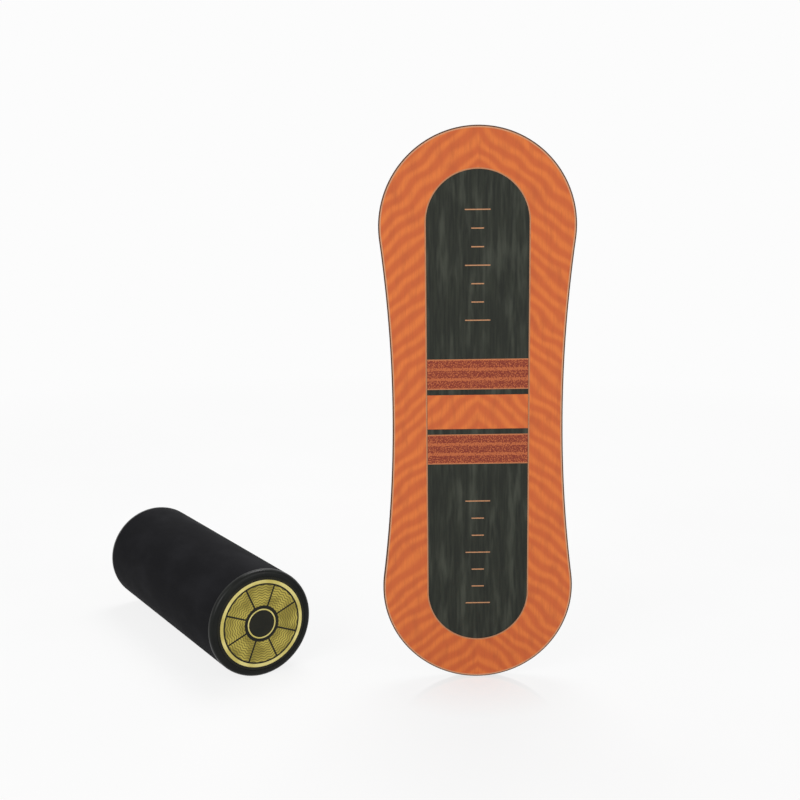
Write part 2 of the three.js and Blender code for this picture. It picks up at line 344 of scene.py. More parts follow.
@dataclass(frozen=True, kw_only=True)
class StainedVeneer(Finish):
    """Ash veneer, sliced, stained black, sanded and lacquered.

    The stain sinks into the soft early wood and leaves the hard late wood greyer, so soft streaks run the
    deck's length under a satin lacquer, with fine dark pores among them. Ash pores are about 0.3 mm wide
    and are drawn 0.8 mm wide, so that they show at all.
    """

    name: str = "ash veneer, stained black, satin lacquer"
    tone: str = "282a26"
    middle: str = "363931"
    pale: str = "4b4e45"
    hollow: str = "1e201c"
    grain: Cloud = Cloud(0.8, 4, 11, 1)
    sheen: Cloud = Cloud(3.5, 12, 50, 3)
    streak: Cloud = Cloud(14, 30, 85, 2)
    rough: Pair = (0.5, 0.38)
    relief: float = -0.04 * MM
    gloss: float = 0.1

    def layers(self) -> Sequence[Layer]:
        """Lists the fibres, the pale and the dark streaks, and the pores.

        Returns:
            The layers, the lowest first.
        """
        return (
            Layer(self.middle, self.sheen, (0.34, 0.66), 0.65),
            Layer(self.pale, self.streak, (0.46, 0.72), 0.65),
            Layer(self.tone, self.streak, (0.48, 0.3), 0.5),
            Layer(self.hollow, self.grain, (0.6, 0.75), 0.25),
        )


@dataclass(frozen=True, kw_only=True)
class StainedPly(Finish):
    """Beech ply, rotary cut and glued, stained near black and sanded smooth at the deck's edge.

    Fibres that run along the edge show as fine lines and those that meet it end on show as dots, so every
    second ply takes more of the stain and reads darker. Beech fibres are under 0.1 mm wide and are drawn
    0.4 to 1 mm wide, so that they show at all.
    """

    tone: str = "3f342b"
    pale: str = "57483b"
    blot: str = "231c17"
    grain: Cloud = Cloud(1, 0.5, 16, 3)
    blotch: Cloud = Cloud(22, 22, 34, 2)
    rough: Pair = (0.62, 0.48)
    relief: float = 0.05 * MM

    def layers(self) -> Sequence[Layer]:
        """Lists the fibres and the blotches of the stain."""
        return Layer(self.pale, self.grain, (0.36, 0.7), 0.8), Layer(self.blot, self.blotch, (0.42, 0.7), 0.6)


@dataclass(frozen=True, kw_only=True)
class StripedInk(Finish):
    """Satin ink on a thin film, screen printed in two near tones.

    The tones meet softly in wavering stripes that slope away on both sides of the deck's middle line, so
    the print looks soft and moving. The ink lies flat, so only a faint wood grain comes through it.
    """

    tone: str = "da7639"
    deep: str = "c86233"
    worn: str = "b35630"
    grain: Cloud = Cloud(2, 10, 30, 3)
    thin: Cloud = Cloud(14, 14, 36, 3)
    drift: Cloud = Cloud(44, 44, 44, 0.5)
    rough: Pair = (0.46, 0.54)
    pitch: float = 23 * MM
    slope: float = 0.85
    waver: float = 28 * MM
    stripe_edge: Pair = (0.04, 0.42)

    def ground(self, shader: Shader) -> Colour:
        """Draws the stripes.

        Args:
            shader: The material's shader.

        Returns:
            Their colour.
        """
        across = shader.add("Math", shader.add("SeparateXYZ", shader.where), operation="ABSOLUTE")
        along = shader.add("SeparateXYZ", shader.where, out=2)
        rise = shader.add("Math", across, self.slope, along, operation="MULTIPLY_ADD")
        rise = shader.add("Math", shader.clouded(self.drift), self.waver, rise, operation="MULTIPLY_ADD")
        return shader.tinted(self.tone, self.deep, shader.sawn(rise, self.pitch), self.stripe_edge)

    def layers(self) -> Sequence[Layer]:
        """Lists the thin places of the ink and the wood grain under it."""
        return Layer(self.worn, self.thin, (0.45, 0.75), 0.45), Layer(self.worn, self.grain, (0.4, 0.75), 0.3)


@dataclass(frozen=True, kw_only=True)
class StippledInk(Finish):
    """Brick red satin ink over orange, screen printed in dots, between two pale lines.

    The dots crowd in bands that run along the bar and thin out between them, so the print looks sanded.
    The real dots are about 0.5 mm across and are drawn 1.6 mm wide, so that they show.
    """

    name: str = "brick red satin ink, stippled"
    tone: str = "b8653d"
    dots: str = "7f3527"
    line: str = "bf7d55"
    grain: Cloud = Cloud(1.6, 1.6, 1.6, 1)
    rough: Pair = (0.5, 0.6)
    relief: float = 0.03 * MM
    gloss: float = 0.2
    near: float
    far: float
    line_width: float = 1.3 * MM
    line_softness: float = 0.4
    bands: int = 3
    band_edge: Pair = (0.3, 0.42)
    crowding: Pair = (0.1, -0.07)
    dot_edge: Pair = (0.5, 0.58)

    def ground(self, shader: Shader) -> Colour:
        """Draws the dots in their bands, and a line on each side of them.

        Args:
            shader: The material's shader.

        Returns:
            Their colour.
        """
        height = shader.add("Math", shader.add("SeparateXYZ", shader.where, out=2), operation="ABSOLUTE")
        within = shader.add("Math", height, self.near, operation="SUBTRACT")
        tooth = shader.sawn(within, (self.far - self.near) / self.bands)
        span = (*self.band_edge, *self.crowding)
        crowd = shader.add("MapRange", tooth, *span, interpolation_type="SMOOTHSTEP")
        crowded = shader.add("Math", shader.clouded(self.grain), crowd, operation="ADD")
        colour = shader.tinted(self.tone, self.dots, crowded, self.dot_edge)
        aside = shader.add("Math", height, (self.near + self.far) / 2, operation="SUBTRACT")
        aside = shader.add("Math", aside, operation="ABSOLUTE")
        edge = (self.far - self.near) / 2 - self.line_width
        line_edge = (edge, edge + self.line_softness * self.line_width)
        return shader.tinted(colour, self.line, aside, line_edge)


@dataclass(frozen=True, kw_only=True)
class LineInk(Finish):
    """One pale ink, screen printed in thin lines: it breaks up a little over the wood's pores.

    The pores are drawn as wide as the veneer's, so that they show.
    """

    worn: str
    grain: Cloud = Cloud(0.8, 4, 8, 3)
    rough: Pair = (0.5, 0.5)

    def layers(self) -> Sequence[Layer]:
        """Lists the worn places of the ink."""
        return (Layer(self.worn, self.grain, (0.5, 0.75)),)


@dataclass(frozen=True, kw_only=True)
class BlackRubber(Finish):
    """Black nitrile rubber, drawn as a skin or moulded, with a fine even tooth.

    The tooth scatters the light to a soft sheen with no sharp edge, and handling polishes it in wide, faint
    patches. The tooth of the real skin is about 0.3 mm and is drawn larger, so that it shows.
    """

    tone: str = "18181a"
    dust: str = "232326"
    grain: Cloud = Cloud(0.9, 0.9, 0.9, 2)
    sheen: Cloud = Cloud(50, 90, 50, 3)
    rough: Pair = (0.74, 0.65)
    relief: float = 0.05 * MM
    gloss: float = 0.02

    def layers(self) -> Sequence[Layer]:
        """Lists the handled patches and the dust in the tooth."""
        return Layer(self.dust, self.sheen, (0.4, 0.75), 0.5), Layer(self.dust, self.grain, (0.5, 0.75), 0.4)


@dataclass(frozen=True, kw_only=True)
class MouldedPlastic(Finish):
    """Plastic, moulded or extruded in a tool with a light spark texture.

    The texture breaks the highlight on rounded edges to a soft glint, and a faint haze in the gloss shows
    where the plastic flowed. The real texture is about 0.1 mm and is drawn larger, so that it shows.
    """

    tone: str = "0a0c0a"
    pale: str = "141613"
    grain: Cloud = Cloud(0.7, 0.7, 0.7, 2)
    sheen: Cloud = Cloud(24, 24, 24, 3)
    rough: Pair = (0.25, 0.38)
    relief: float = 0.03 * MM
    ior: float = 1.53
    gloss: float = 0.15

    def layers(self) -> Sequence[Layer]:
        """Lists the haze of the flow."""
        return (Layer(self.pale, self.sheen, (0.35, 0.75), 0.7),)


@dataclass(frozen=True, kw_only=True)
class GoldInk(Finish):
    """Gold ink with metal flakes, pad printed on a plastic disc, laid solid or in fine waved rings.

    The flakes glint a little through the metallic gloss. The tone also drifts between straw and olive across the
    disc in soft patches, which are painted glints of the flakes. Between the waved rings the dark disc shows
    through.
    Real flakes are under 0.1 mm and are drawn 0.8 mm wide, so that they show.
    """

    # The tone and the shade are the two ends of the painted glints: the ink as if lit, and the ink as if dull.
    tone: str = "dccf82"
    shade: str = "c2b35c"
    # The drift's cloud places the painted glints: soft patches where the ink goes from its tone to its darker
    # shade.
    gap: str = "6b6020"
    grain: Cloud = Cloud(0.8, 0.8, 0.8, 1)
    drift: Cloud = Cloud(26, 26, 26, 1)
    rough: Pair = (0.34, 0.5)
    gloss: float = 0.5
    metallic: float = 0.3
    painted_glint_edge: Pair = (0.36, 0.66)
    gap_edge: Pair = (0.24, 0.4)
    ring_pitch: float = 0.0
    waves: float = 30.0
    wave_height: float = 1.0 * MM

    def ground(self, shader: Shader) -> Colour:
        """Draws the ink, with painted glints, in waved rings round the disc's middle where they have a pitch.

        Args:
            shader: The material's shader, whose coordinates have Y along the drum's axis.

        Returns:
            The colour of the ink and of the dark gaps between its rings.
        """
        # Painted glints: the tone drifts to the darker shade in soft patches, as if the flakes caught the light.
        colour = shader.tinted(self.tone, self.shade, shader.clouded(self.drift), self.painted_glint_edge)
        if not self.ring_pitch:
            return colour
        across, up = (shader.add("SeparateXYZ", shader.where, out=i) for i in (0, 2))
        square = shader.add("Math", up, 2.0, operation="POWER")
        square = shader.add("Math", across, across, square, operation="MULTIPLY_ADD")
        radius = shader.add("Math", square, 0.5, operation="POWER")
        bearing = shader.add("Math", up, across, operation="ARCTAN2")
        bearing = shader.add("Math", bearing, self.waves, operation="MULTIPLY")
        sway = shader.add("Math", bearing, operation="SINE")
        swayed = shader.add("Math", sway, self.wave_height, radius, operation="MULTIPLY_ADD")
        return shader.tinted(colour, self.gap, shader.sawn(swayed, self.ring_pitch), self.gap_edge)


@dataclass(frozen=True, kw_only=True)
class ZincSteel(Finish):
    """Steel, cold headed and zinc plated: bright and cool, with a faint cloud where the plating varies."""

    name: str = "steel wood screw, zinc plated"
    tone: str = "b9bcbd"
    cloud: str = "8f9396"
    grain: Cloud = Cloud(1.5, 1.5, 1.5, 3)
    rough: Pair = (0.28, 0.42)
    relief: float = 0.01 * MM
    gloss: float = 0.5
    metallic: float = 1.0

    def layers(self) -> Sequence[Layer]:
        """Lists the cloud in the plating."""
        return (Layer(self.cloud, self.grain, (0.35, 0.7)),)


@dataclass(frozen=True, kw_only=True)
class WhiteAcrylic(Finish):
    """White cast acrylic sheet: a studio floor with a soft shadow, polished where the deck stands on it.

    What the camera and the gloss see of it is lifted to the backdrop's white, more so far from the object,
    so that the sheet has no visible end. The polish mirrors the deck's round foot and dulls away from it.
    """

    name: str = "white acrylic sheet, cast"
    foot: Point
    tone: str = "f2f2f2"
    cloud: str = "ececec"
    white: str = "fcfcfc"
    grain: Cloud = Cloud(400, 400, 400, 2)
    rough: Pair = (0.6, 0.6)
    relief: float = 0.0
    ior: float = 1.49
    gloss: float = 0.0
    lift_reach: Pair = (0.9, 2.6)
    lift: Pair = (0.86, 1.0)
    polish_reach: Pair = (20 * MM, 150 * MM)
    polish_rough: float = 0.08

    def layers(self) -> Sequence[Layer]:
        """Lists the sheet's faint cloud."""
        return (Layer(self.cloud, self.grain, (0.3, 0.7)),)

    def shaded(self) -> Shader:
        """Builds the material, with its lift and its polish over the sheet's surface.

        Returns:
            The material's shader.
        """
        shader = super().shaded()
        distance = shader.add("VectorMath", shader.where, out="Value", operation="LENGTH")
        lift = shader.add("MapRange", distance, *self.lift_reach, *self.lift)
        share = shader.add("Math", shader.glimpsed(), lift, operation="MULTIPLY")
        glow = shader.add("Emission", self.white, 1.0)
        lifted = shader.add("MixShader", share, shader.surface.outputs[0], glow)
        away = shader.add("VectorMath", shader.grounded(self.foot), out="Value", operation="LENGTH")
        polish = shader.add("MapRange", away, *self.polish_reach, 1.0, 0.0)
        polish = shader.add("Math", polish, shader.add("Fresnel", self.ior), operation="MULTIPLY")
        mirror = shader.add("BsdfGlossy", WHITE, self.polish_rough)
        shader.feed(shader.output, {"Surface": shader.add("MixShader", polish, lifted, mirror)})
        return shader


def settle(bm: Mesh) -> Mesh:
    """Joins doubled points and turns every face outwards.

    Args:
        bm: The mesh of a closed solid.

    Returns:
        The same mesh.
    """
    bmesh.ops.remove_doubles(bm, verts=bm.verts, dist=MERGE)
    bmesh.ops.recalc_face_normals(bm, faces=bm.faces)
    return bm


def shift(bm: Mesh, step: Sequence[float]) -> Mesh:
    """Moves a mesh by a step along each axis, and gives it back."""
    bmesh.ops.translate(bm, verts=bm.verts, vec=Vector(step))
    return bm


def spun(bm: Mesh, angle: float) -> Mesh:
    """Turns a mesh about the Y axis, and gives it back."""
    bmesh.ops.transform(bm, matrix=Matrix.Rotation(angle, 4, "Y"), verts=bm.verts)
    return bm


def swept(bm: Mesh, start: Any, centre: Pair, angle: float, steps: int) -> Any:
    """Sweeps a point about a centre in the X and Z plane, and leaves an arc of edges behind it.

    Args:
        bm: The mesh that holds the point.
        start: The point.
        centre: The arc's centre, in X and Z.
        angle: The turn, from +X towards +Z.
        steps: The arc's edges.

    Returns:
        The point at the arc's far end.
    """
    swing = bmesh.ops.spin(
        bm, geom=[start], cent=(centre[0], 0.0, centre[1]), axis=(0.0, -1.0, 0.0), angle=angle,
        steps=steps, use_merge=False,
    )
    return next(part for part in swing["geom_last"] if isinstance(part, bmesh.types.BMVert))


def mirrored(bm: Mesh) -> Mesh:
    """Completes a quarter of a flat shape by its mirror images along X and Z.

    Args:
        bm: The mesh.

    Returns:
        The same mesh.
    """
    for axis in (Axis.X, Axis.Z):
        parts = bm.verts[:] + bm.edges[:] + bm.faces[:]
        bmesh.ops.mirror(bm, geom=parts, matrix=Matrix.Identity(4), merge_dist=MERGE, axis=axis.value)
        bmesh.ops.remove_doubles(bm, verts=bm.verts, dist=MERGE)
    return bm


def thickened(bm: Mesh, thickness: float) -> Mesh:
    """Pulls flat faces out along +Y to a solid.

    Args:
        bm: The mesh of the flat faces, at Y 0.
        thickness: The solid's depth.

    Returns:
        The same mesh.
    """
    pulled = bmesh.ops.extrude_face_region(bm, geom=bm.faces[:])
    points = [part for part in pulled["geom"] if isinstance(part, bmesh.types.BMVert)]
    bmesh.ops.translate(bm, verts=points, vec=(0.0, thickness, 0.0))
    return settle(bm)


def framed(outer: Mesh, inner: Mesh, thickness: float) -> Mesh:
    """Fills the space between two flat outlines and pulls it out along +Y.

    Args:
        outer: The outer outline's edges.
        inner: The inner outline's edges, which are used up.
        thickness: The solid's depth.

    Returns:
        The outer mesh, now the solid.
    """
    mesh = bpy.data.meshes.new("inner")
    inner.to_mesh(mesh)
    inner.free()
    outer.from_mesh(mesh)
    bmesh.ops.triangle_fill(outer, edges=outer.edges[:], use_beauty=True)
    return thickened(outer, thickness)


def turned(profile: Sequence[Pair], sides: int) -> Mesh:
    """Turns a profile round the Y axis.

    Args:
        profile: Radius and place along Y of each point. It starts and ends on the axis, or closes.
        sides: The steps of a full turn.

    Returns:
        The mesh of the turned solid.
    """
    bm = bmesh.new()
    points = [bm.verts.new((radius, along, 0.0)) for radius, along in profile]
    for first, second in zip(points, points[1:]):
        bm.edges.new((first, second))
    if profile[0][0] > 0:
        bm.edges.new((points[-1], points[0]))
    bmesh.ops.spin(
        bm, geom=bm.verts[:] + bm.edges[:], cent=(0.0, 0.0, 0.0), axis=(0.0, 1.0, 0.0), angle=FULL_TURN,
        steps=sides, use_merge=True,
    )
    return settle(bm)


def block(size: Sequence[float]) -> Mesh:
    """Makes a block round the origin.

    Args:
        size: Its length along each axis.

    Returns:
        The mesh of the block.
    """
    bm = bmesh.new()
    bmesh.ops.create_cube(bm, size=1.0, matrix=Matrix.Diagonal((*size, 1.0)))
    return bm


def reach(edge: bmesh.types.BMEdge, axis: int) -> float:
    """Gives how far an edge runs along an axis, which is told by its number."""
    return abs(edge.verts[0].co[axis] - edge.verts[1].co[axis])


def bevelled(bm: Mesh, chosen: Callable[[Any], bool], offset: float, segments: int) -> None:
    """Rounds some edges.

    Args:
        bm: The mesh.
        chosen: Says whether an edge is rounded.
        offset: The rounding's size.
        segments: The steps of the rounding.
    """
    edges = [edge for edge in bm.edges if chosen(edge)]
    bmesh.ops.bevel(
        bm, geom=edges, offset=offset, offset_type="OFFSET", segments=segments, profile=0.5,
        affect="EDGES", material=-1, clamp_overlap=False,
    )


def linked(name: str, data: Any) -> Object:
    """Makes an object and puts it in the scene.

    Args:
        name: The object's name.
        data: Its mesh, lamp or camera.

    Returns:
        The object.
    """
    made = bpy.data.objects.new(name, data)
    bpy.context.scene.collection.objects.link(made)
    return made


def piece(name: str, bm: Mesh, finish: Finish | None = None) -> Object:
    """Turns a mesh to an object at the origin, shaded smooth between its sharp edges.

    Args:
        name: The object's name.
        bm: The mesh, which is used up.
        finish: What it is made of, or None for a tool.

    Returns:
        The object.
    """
    mesh = bpy.data.meshes.new(name)
    bm.to_mesh(mesh)
    bm.free()
    if finish:
        mesh.materials.append(finish.material())
    made = linked(name, mesh)
    smooth(made)
    return made


def smooth(made: Object) -> None:
    """Shades an object smooth between edges that turn more than the sharp angle."""
    made.data.shade_smooth()
    made.data.set_sharp_from_angle(angle=SHARP_ANGLE)


def carved(target: Object, tools: Iterable[Mesh], action: Carve) -> Object:
    """Cuts solids out of an object, or joins them to it.

    Args:
        target: The object.
        tools: The solids, which are used up.
        action: What they do.

    Returns:
        The same object.
    """
    for bm in tools:
        tool = piece("tool", bm)
        step = target.modifiers.new("Carve", "BOOLEAN")
        step.operation = action.value
        step.solver = "EXACT"
        step.object = tool
        graph = bpy.context.evaluated_depsgraph_get()
        mesh = bpy.data.meshes.new_from_object(target.evaluated_get(graph))
        target.modifiers.clear()
        target.data = mesh
        bpy.data.objects.remove(tool)
    smooth(target)
    return target


def adopt(made: Object, body: str, node: str | None = None) -> None:
    """Puts a new piece on its body, in the place of a CAD node where it stands for one.

    Args:
        made: The piece.
        body: The body that it rides on.
        node: The node that it stands for, or None for a small piece that the CAD leaves out.
    """
    if node:
        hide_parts(node)
    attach(made, body)
    log.info("%s: %d faces, on %s", made.name, len(made.data.polygons), body)


def redress(node: str, finish: Finish) -> None:
    """Gives a CAD node that stays a better material.

    Args:
        node: The node.
        finish: What it is made of.
    """
    for holder in frame["nodes"][node].material_slots:
        holder.material = finish.material()
    log.info("%s: kept, in %s", node, finish.name)


@dataclass
class Deck:
    """The laminated deck: its outline, its plies and the printed layer on its face."""

    body: str = "deck"
    ply_count: int = 7
    waist_draw_in: float = 17 * MM
    rim_share: float = 0.1
    rim_segments: int = 6
    end_steps: int = 48
    waist_steps: int = 24
    end_grain: Cloud = Cloud(7, 0.4, 1, 3)
    end_border: float = 60 * MM
    side_border: float = 50 * MM
    window_steps: int = 48
    print_margin: float = 0.5 * MM
    line_width: float = 1.8 * MM
    mark_count: int = 7
    long_mark_every: int = 3
    mark_spacing: float = 26 * MM
    mark_length: float = 18 * MM
    long_mark_length: float = 36 * MM
    mark_width: float = 1.6 * MM
    ink_raise: float = 0.03 * MM
    low: Vector = field(init=False)
    high: Vector = field(init=False)

    def __post_init__(self) -> None:
        """Takes the deck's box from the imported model."""
        boxes = [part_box(node) for node in self.nodes()]
        self.low = Vector(min(low[i] for low, _ in boxes) for i in range(3))
        self.high = Vector(max(high[i] for _, high in boxes) for i in range(3))

    def nodes(self) -> list[str]:
        """Names the plies, from the standing face to the back."""
        return ["face_veneer", *(f"core_ply_{i}" for i in range(1, self.ply_count - 1)), "back_veneer"]

    @property
    def centre(self) -> Point:
        """Gives the middle of the standing face."""
        return ((self.low.x + self.high.x) / 2, self.low.y, (self.low.z + self.high.z) / 2)

    @property
    def foot(self) -> Point:
        """Gives the lowest point of the standing face."""
        return (self.centre[0], self.low.y, self.low.z)

    @property
    def rim(self) -> float:
        """Gives the radius of the rounded rim."""
        return self.rim_share * (self.high.y - self.low.y)

    @property
    def print_edge(self) -> float:
        """Gives how far inside the outline the print ends: a margin short of the rounded rim."""
        return self.rim + self.print_margin

    @property
    def half_width(self) -> float:
        """Gives half the width of the lobes, which is the radius of the round ends."""
        return (self.high.x - self.low.x) / 2

    @property
    def window_half(self) -> float:
        """Gives half the width of the dark window in the print."""
        return self.half_width - self.waist_draw_in - self.side_border

    @property
    def window_straight(self) -> float:
        """Gives the height above the middle where the window's sides end and its round ends start."""
        return (self.high.z - self.low.z) / 2 - self.end_border - self.window_half

    def outline(self, inset: float = 0.0) -> Mesh:
        """Draws the deck's outline round the origin.

        Args:
            inset: How far the outline is drawn in.

        Returns:
            The mesh of its edges.
        """
        bm = bmesh.new()
        end_centre = (self.high.z - self.low.z) / 2 - self.half_width
        waist_half = self.half_width - self.waist_draw_in
        square = waist_half ** 2 + end_centre ** 2 - self.half_width ** 2
        waist_centre = waist_half + square / (2 * self.waist_draw_in)
        tangent = math.atan2(end_centre, waist_centre)
        start = bm.verts.new((waist_half - inset, 0.0, 0.0))
        middle = swept(bm, start, (waist_centre, 0.0), -tangent, self.waist_steps)
        swept(bm, middle, (0.0, end_centre), QUARTER + tangent, self.end_steps)
        return mirrored(bm)

    def window(self, growth: float = 0.0) -> Mesh:
        """Draws the window's outline round the origin.

        Args:
            growth: How far outside the window it is.

        Returns:
            The mesh of its edges.
        """
        bm = bmesh.new()
        side = bm.verts.new((self.window_half + growth, 0.0, 0.0))
        corner = bm.verts.new((self.window_half + growth, 0.0, self.window_straight))
        bm.edges.new((side, corner))
        swept(bm, corner, (0.0, self.window_straight), QUARTER, self.window_steps)
        return mirrored(bm)

    def ply(self, node: str) -> Mesh:
        """Makes the whole laminate, with its rounded rim, and slices one ply out of it.

        Args:
            node: The ply's node, whose box gives its depth.

        Returns:
            The mesh of the ply, in place.
        """
        bm = self.outline()
        bmesh.ops.edgeloop_fill(bm, edges=bm.edges[:])
        thickened(bm, self.high.y - self.low.y)
        bevelled(bm, lambda edge: reach(edge, 1) < MERGE, self.rim, self.rim_segments)
        shift(settle(bm), self.centre)
        low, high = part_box(node)
        for depth, outward in ((low.y, -1.0), (high.y, 1.0)):
            parts = bm.verts[:] + bm.edges[:] + bm.faces[:]
            cut = bmesh.ops.bisect_plane(
                bm, geom=parts, dist=MERGE, plane_co=(0.0, depth, 0.0), plane_no=(0.0, outward, 0.0),
                clear_outer=True,
            )
            edges = [part for part in cut["geom_cut"] if isinstance(part, bmesh.types.BMEdge)]
            open_edges = [edge for edge in edges if edge.is_boundary]
            if open_edges:
                bmesh.ops.edgeloop_fill(bm, edges=open_edges)
        return settle(bm)

    def build_plies(self, screws: "list[Screw]") -> None:
        """Makes the plies, with the screws' holes in those that the screws reach.

        The rim of the outer veneers is sanded after it is stained, so the bare brown of the wood shows.

        Args:
            screws: The screws of both stops.
        """
        veneer = StainedVeneer(centre=self.centre)
        rim = StainedPly(
            name="ash veneer, edge sanded through the stain", centre=self.centre,
            tone="4a2a1c", pale="5e3a28", blot="382016",
        )
        along = StainedPly(name="beech ply, stained, grain along the deck", centre=self.centre)
        across = replace(along, name="beech ply, stained, grain across the deck", grain=self.end_grain)
        for i, node in enumerate(self.nodes()):
            outer = i in (0, self.ply_count - 1)
            made = piece(f"{node}_board", self.ply(node), veneer if outer else (along if i % 2 else across))
            if outer:
                made.data.materials.append(rim.material())
                for face in made.data.polygons:
                    face.material_index = int(abs(face.normal.y) < SQUARE)
            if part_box(node)[1].y > screws[0].tip:
                carved(made, [screw.hole() for screw in screws], Carve.REMOVE)
            adopt(made, self.body, node)

    def build_border(self) -> None:
        """Makes the printed border round the window, and the pale lines along its two edges."""
        low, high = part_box("print_border")
        orange = StripedInk(name="orange satin ink, border", centre=self.centre)
        rim_tan = LineInk(name="tan ink, rim line", tone="cc9470", worn="b87d58")
        window_tan = LineInk(name="tan ink, window line", tone="b8805c", worn="a06a48")
        edge, line_edge = self.print_edge, self.print_edge + self.line_width
        back, front, raised = high.y, low.y, low.y - self.ink_raise
        for name, outer, inner, ink, near, far, node in (
            ("border", self.outline(edge), self.window(), orange, front, back, "print_border"),
            ("rim_line", self.outline(edge), self.outline(line_edge), rim_tan, raised, front, None),
            ("window_line", self.window(self.line_width), self.window(), window_tan, raised, front, None),
        ):
            bm = shift(framed(outer, inner, far - near), (self.centre[0], near, self.centre[2]))
            adopt(piece(f"{name}_print", bm, ink), self.body, node)

    def build_bars(self) -> None:
        """Makes the three printed bars across the waist."""
        low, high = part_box("print_bar_upper")
        middle = self.centre[2]
        brick = StippledInk(centre=self.centre, near=low.z - middle, far=high.z - middle)
        orange = StripedInk(name="orange satin ink, bar", centre=self.centre)
        for name, slot, ink in (
            ("upper", "brick_print", brick),
            ("middle", "orange_print", orange),
            ("lower", "brick_print", brick),
        ):
            low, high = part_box(f"print_bar_{name}")
            bm = shift(block(high - low), (low + high) / 2)
            adopt(piece(f"bar_print_{name}", bm, ink), self.body, f"print_bar_{name}")

    def build_marks(self) -> None:
        """Prints a scale of short pale lines down each half of the window, for placing the feet."""
        bm = bmesh.new()
        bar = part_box("print_bar_upper")[1].z - self.centre[2]
        middle = (bar + self.window_straight + self.window_half) / 2
        for side in Side:
            for i in range(self.mark_count):
                length = self.mark_length if i % self.long_mark_every else self.long_mark_length
                height = side.value * middle + (i - (self.mark_count - 1) / 2) * self.mark_spacing
                place = Vector(self.centre) + Vector((0.0, -self.ink_raise / 2, height))
                size = Matrix.Diagonal((length, self.ink_raise, self.mark_width, 1.0))
                bmesh.ops.create_cube(bm, size=1.0, matrix=Matrix.Translation(place) @ size)
        ink = LineInk(name="pale orange ink, foot scale", tone="c08a63", worn="8a6a50")
        adopt(piece("foot_scale_print", bm, ink), self.body)

    def build(self, screws: "list[Screw]") -> None:
        """Makes the whole deck.

        Args:
            screws: The screws of both stops, which go into it.
        """
        self.build_plies(screws)
        self.build_border()
        self.build_bars()
        self.build_marks()


@dataclass
class Screw:
    """A countersunk wood screw with a cross recess."""

    node: str
    tip: float
    top: float
    centre: Pair
    steel: Finish = ZincSteel()
    body: str = "deck"
    shank: float = 2.1 * MM
    head: float = 4.2 * MM
    head_height: float = 2.6 * MM
    head_rim: float = 0.5 * MM
    point: float = 4 * MM
    clearance: float = 0.25 * MM
    recess: Point = (4.4 * MM, 1.6 * MM, 1.1 * MM)
    sides: int = 40

    @classmethod
    def of(cls, node: str) -> "Screw":
        """Reads a screw's place from its node."""
        low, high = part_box(node)
        return cls(node, low.y, high.y, ((low.x + high.x) / 2, (low.z + high.z) / 2))

    def blank(self, extra: float, top: float) -> Mesh:
        """Turns the screw's outer form.

        Args:
            extra: How much wider than the screw it is.
            top: Where it ends.

        Returns:
            The mesh, in place.
        """
        bm = turned([
            (0.0, self.tip - extra),
            (self.shank + extra, self.tip + self.point - extra),
            (self.shank + extra, self.top - self.head_height),
            (self.head + extra, self.top - self.head_rim),
            (self.head + extra, top),
            (0.0, top),
        ], self.sides)
        return shift(bm, (self.centre[0], 0.0, self.centre[1]))

    def hole(self) -> Mesh:
        """Makes the cutter of the screw's hole."""
        return self.blank(self.clearance, self.top + CUT_OVERRUN)

    def build(self) -> None:
        """Makes the screw, with its cross recess."""
        made = piece(f"{self.node}_steel", self.blank(0.0, self.top), self.steel)
        length, depth, width = self.recess
        place = (self.centre[0], self.top - depth / 2 + CUT_OVERRUN / 2, self.centre[1])
        sizes = ((length, depth + CUT_OVERRUN, width), (width, depth + CUT_OVERRUN, length))
        carved(made, [shift(block(size), place) for size in sizes], Carve.REMOVE)
        adopt(made, self.body, self.node)


@dataclass
class Stop:
    """A stop under one end of the deck: a wooden cleat, a rubber pad and three screws."""

    side: Side
    wood: Finish
    rubber: Finish = BlackRubber(name="nitrile rubber, moulded buffer", rough=(0.69, 0.6))
    body: str = "deck"
    corner_share: float = 0.3
    pad_corner_share: float = 0.13
    chamfer_share: float = 0.3
    screw_count: int = 3
    corner_segments: int = 8
    chamfer_segments: int = 4

    @property
    def label(self) -> str:
        """Gives the side's name in the nodes' names."""
        return self.side.name.lower()

    def screws(self) -> list[Screw]:
        """Lists the stop's screws."""
        return [Screw.of(f"stop_screw_{self.label}_{i}") for i in range(1, self.screw_count + 1)]

    def rounded(self, node: str, upright: Axis, corner: float) -> Mesh:
        """Makes a block that fills a node's box, with round corners and one softened face.

        Args:
            node: The node.
            upright: The axis that the rounded corners run along.
            corner: The corners' radius.

        Returns:
            The mesh, in place.
        """
        low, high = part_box(node)
        along = list(Axis).index(upright)
        bm = block(high - low)
        bevelled(bm, lambda edge: reach(edge, along) > MERGE, corner, self.corner_segments)
        outward = 1 if upright is Axis.Y else -self.side.value
        face = outward * (high - low)[along] / 2
        bevelled(
            bm, lambda edge: all(abs(v.co[along] - face) < MERGE for v in edge.verts),
            self.chamfer_share * corner, self.chamfer_segments,
        )
        return shift(settle(bm), (low + high) / 2)

    def build(self) -> None:
        """Makes the stop's pieces."""
        node = f"stop_cleat_{self.label}"
        low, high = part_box(node)
        bm = self.rounded(node, Axis.Y, self.corner_share * (high.z - low.z))
        holes = [screw.hole() for screw in self.screws()]
        cleat = carved(piece(f"{node}_bar", bm, self.wood), holes, Carve.REMOVE)
        adopt(cleat, self.body, node)
        node = f"stop_pad_{self.label}"
        low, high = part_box(node)
        bm = self.rounded(node, Axis.Z, self.pad_corner_share * (high.y - low.y))
        adopt(piece(f"{node}_rubber", bm, self.rubber), self.body, node)
        for screw in self.screws():
            screw.build()


